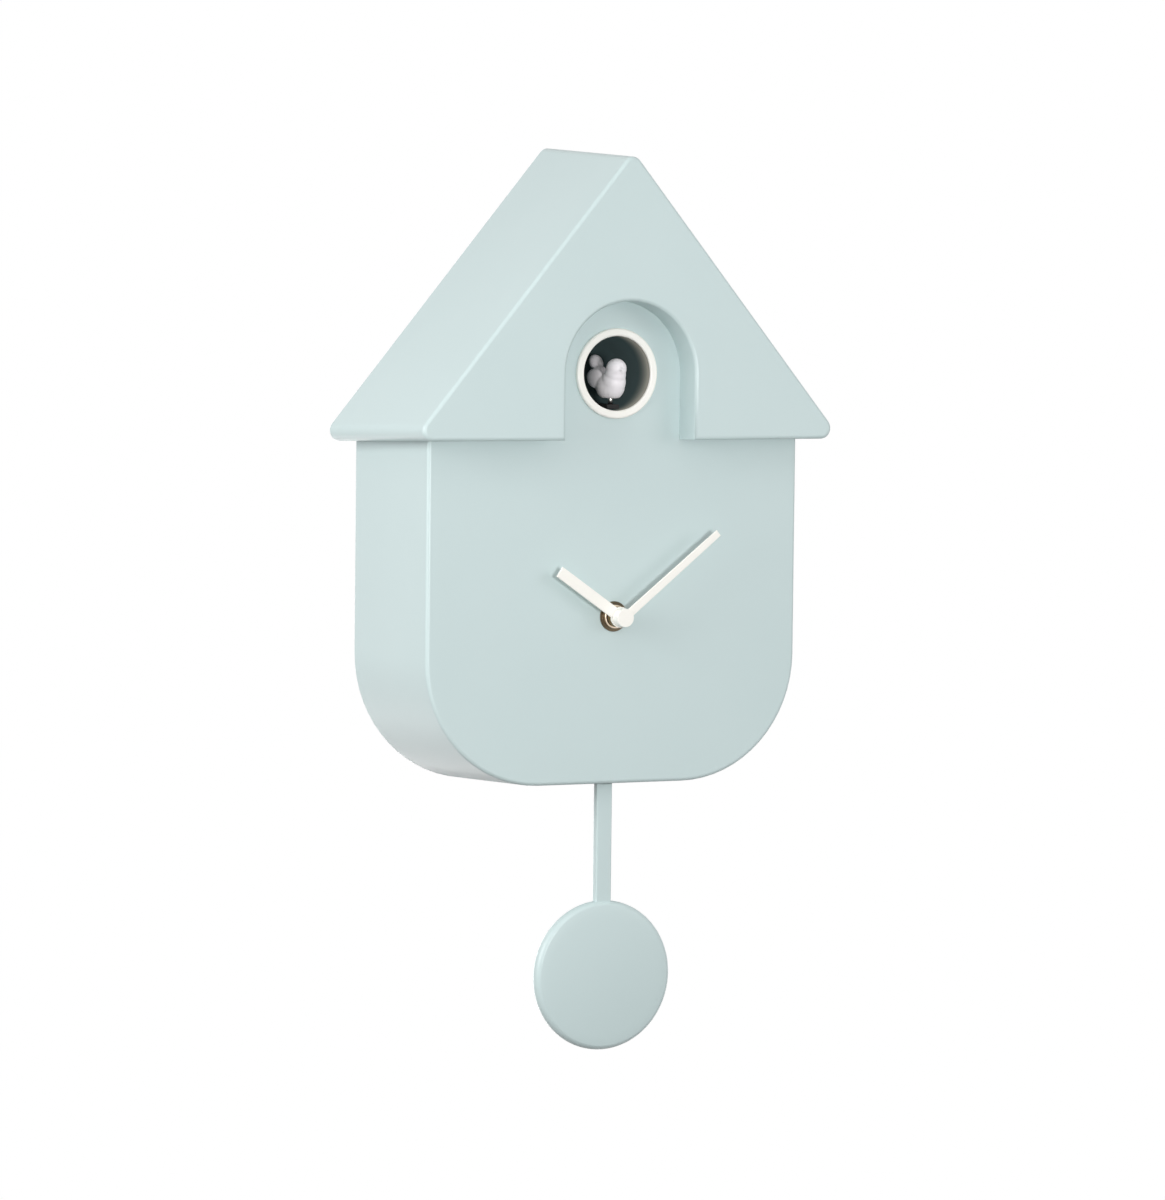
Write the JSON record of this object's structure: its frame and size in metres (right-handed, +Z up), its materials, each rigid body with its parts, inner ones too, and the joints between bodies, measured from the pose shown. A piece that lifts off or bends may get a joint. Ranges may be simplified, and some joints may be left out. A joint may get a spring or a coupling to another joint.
{
  "type": "cuckoo clock",
  "caption": "Wall clock shaped like a gabled house, with a bird that slides out of a ringed tunnel under the roof, two straight hands, and a swinging disc pendulum below.",
  "frame": {"origin": "centre of the round entry of the hanging keyhole, in the plane of the wall", "axes": "+X to the right seen from the front, +Y into the wall, +Z up"},
  "size_m": [0.2156, 0.085, 0.4045],
  "materials": {
    "case_plastic": "satin",
    "white_plastic": "satin",
    "dark_plastic": "matte",
    "black_plastic": "satin",
    "acetal": "satin",
    "bird_plastic": "gloss",
    "rubber": "matte",
    "brass": "satin",
    "dark_brass": "satin",
    "white_aluminium": "painted satin",
    "zinc_steel": "plated",
    "motor_steel": "satin",
    "core_steel": "rolled",
    "ferrite": "matte",
    "copper": "enamelled",
    "board": "semi-gloss",
    "component_plastic": "matte",
    "lens": "clear",
    "paper_cone": "matte",
    "cell_jacket": "satin"
  },
  "bodies": {
    "case": {"roof_shell": "case_plastic", "body_shell": "case_plastic", "back_cover": "case_plastic", "bezel_ring": "white_plastic", "bird_tunnel": "dark_plastic", "drive_frame": "black_plastic", "gear_axle": "zinc_steel", "bird_motor": "motor_steel", "movement_front": "black_plastic", "movement_back": "black_plastic", "rubber_gasket": "rubber", "hub_washer": "dark_brass", "hub_nut": "brass", "stator": "core_steel", "movement_coil": "copper", "pendulum_bracket": "black_plastic", "pivot_pin": "zinc_steel", "pin_clip": "zinc_steel", "drive_coil": "copper", "circuit_board": "board", "board_parts": "component_plastic", "light_sensor": "lens", "speaker_frame": "black_plastic", "speaker_magnet": "ferrite", "speaker_cone": "paper_cone", "cells": "cell_jacket", "cell_contacts": "zinc_steel", "case_screws": "zinc_steel", "inner_screws": "zinc_steel", "small_screws": "zinc_steel"},
    "minute": {"minute_arbor": "brass", "minute_hand": "white_aluminium", "hand_cap": "white_aluminium"},
    "hour": {"hour_wheel": "acetal", "hour_collet": "dark_brass", "hour_hand": "white_aluminium"},
    "motion": {"motion_wheel": "acetal"},
    "third": {"third_wheel": "acetal"},
    "fourth": {"fourth_wheel": "acetal"},
    "fifth": {"fifth_wheel": "acetal"},
    "rotor": {"rotor": "ferrite"},
    "setting": {"setting_knob": "acetal"},
    "pendulum": {"pendulum_hanger": "acetal", "drive_magnet": "ferrite", "pendulum_rod": "case_plastic", "pendulum_disc": "case_plastic", "disc_back": "case_plastic"},
    "bird": {"bird": "bird_plastic", "bird_stem": "zinc_steel", "bird_carriage": "black_plastic"},
    "pinion": {"rack_pinion": "acetal", "drive_wheel": "acetal"},
    "reduction": {"reduction_gear": "acetal"},
    "bird_motor_shaft": {"motor_pinion": "brass"},
    "door": {"battery_door": "case_plastic"},
    "volume": {"volume_slider": "black_plastic"},
    "button": {"test_button": "acetal"}
  },
  "joints": [
    {"name": "minute_turn", "type": "hinge", "parent": "case", "child": "minute", "pos_m": [0, -0.07, -0.15398], "axis": [0, 1, 0], "continuous": true},
    {"name": "hour_turn", "type": "hinge", "parent": "case", "child": "hour", "pos_m": [0, -0.07, -0.15398], "axis": [0, 1, 0], "continuous": true},
    {"name": "motion_turn", "type": "hinge", "parent": "case", "child": "motion", "pos_m": [0.00636, -0.063, -0.16035], "axis": [0, 1, 0], "continuous": true},
    {"name": "third_turn", "type": "hinge", "parent": "case", "child": "third", "pos_m": [0.00841, -0.06, -0.14557], "axis": [0, 1, 0], "continuous": true},
    {"name": "fourth_turn", "type": "hinge", "parent": "case", "child": "fourth", "pos_m": [-0.00094, -0.058, -0.14017], "axis": [0, 1, 0], "continuous": true},
    {"name": "fifth_turn", "type": "hinge", "parent": "case", "child": "fifth", "pos_m": [-0.00969, -0.056, -0.14017], "axis": [0, 1, 0], "continuous": true},
    {"name": "rotor_turn", "type": "hinge", "parent": "case", "child": "rotor", "pos_m": [-0.01344, -0.056, -0.14666], "axis": [0, 1, 0], "continuous": true},
    {"name": "setting_turn", "type": "hinge", "parent": "case", "child": "setting", "pos_m": [0.01352, -0.03, -0.16751], "axis": [0, 1, 0], "continuous": true},
    {"name": "pendulum_swing", "type": "hinge", "parent": "case", "child": "pendulum", "pos_m": [0, -0.0616, -0.19208], "axis": [0, 1, 0], "range_deg": [-7, 7]},
    {"name": "motor_turn", "type": "hinge", "parent": "case", "child": "bird_motor_shaft", "pos_m": [0.006, -0.02095, -0.0803], "axis": [1, 0, 0], "range_deg": [0, 4202]},
    {"name": "reduction_turn", "type": "hinge", "parent": "case", "child": "reduction", "pos_m": [0.009, -0.0294, -0.07722], "axis": [1, 0, 0], "range_deg": [-1050.5, 0]},
    {"name": "pinion_turn", "type": "hinge", "parent": "case", "child": "pinion", "pos_m": [0, -0.0388, -0.0738], "axis": [1, 0, 0], "range_deg": [0, 262.65]},
    {"name": "bird_slide", "type": "slide", "parent": "case", "child": "bird", "axis": [0, -1, 0], "range_m": [0, 0.022]},
    {"name": "door_turn", "type": "hinge", "parent": "case", "child": "door", "pos_m": [-0.056, -0.00082, -0.17536], "axis": [-1, 0, 0], "range_deg": [0, 75]},
    {"name": "volume_slide", "type": "slide", "parent": "case", "child": "volume", "axis": [1, 0, 0], "range_m": [-0.003, 0.003]},
    {"name": "button_press", "type": "slide", "parent": "case", "child": "button", "axis": [0, -1, 0], "range_m": [0, 0.0012], "stiffness_N_per_m": 300}
  ],
  "couplings": [
    {"joint": "hour_turn", "follows": "minute_turn", "ratio": 0.083333},
    {"joint": "motion_turn", "follows": "minute_turn", "ratio": -0.33333},
    {"joint": "third_turn", "follows": "minute_turn", "ratio": -7.5},
    {"joint": "fourth_turn", "follows": "minute_turn", "ratio": 60},
    {"joint": "fifth_turn", "follows": "minute_turn", "ratio": -360},
    {"joint": "rotor_turn", "follows": "minute_turn", "ratio": 1800},
    {"joint": "setting_turn", "follows": "minute_turn", "ratio": 0.66667},
    {"joint": "pinion_turn", "follows": "bird_slide", "rad_per_m": 208.33},
    {"joint": "reduction_turn", "follows": "bird_slide", "rad_per_m": -833.33},
    {"joint": "motor_turn", "follows": "bird_slide", "rad_per_m": 3333.3}
  ]
}
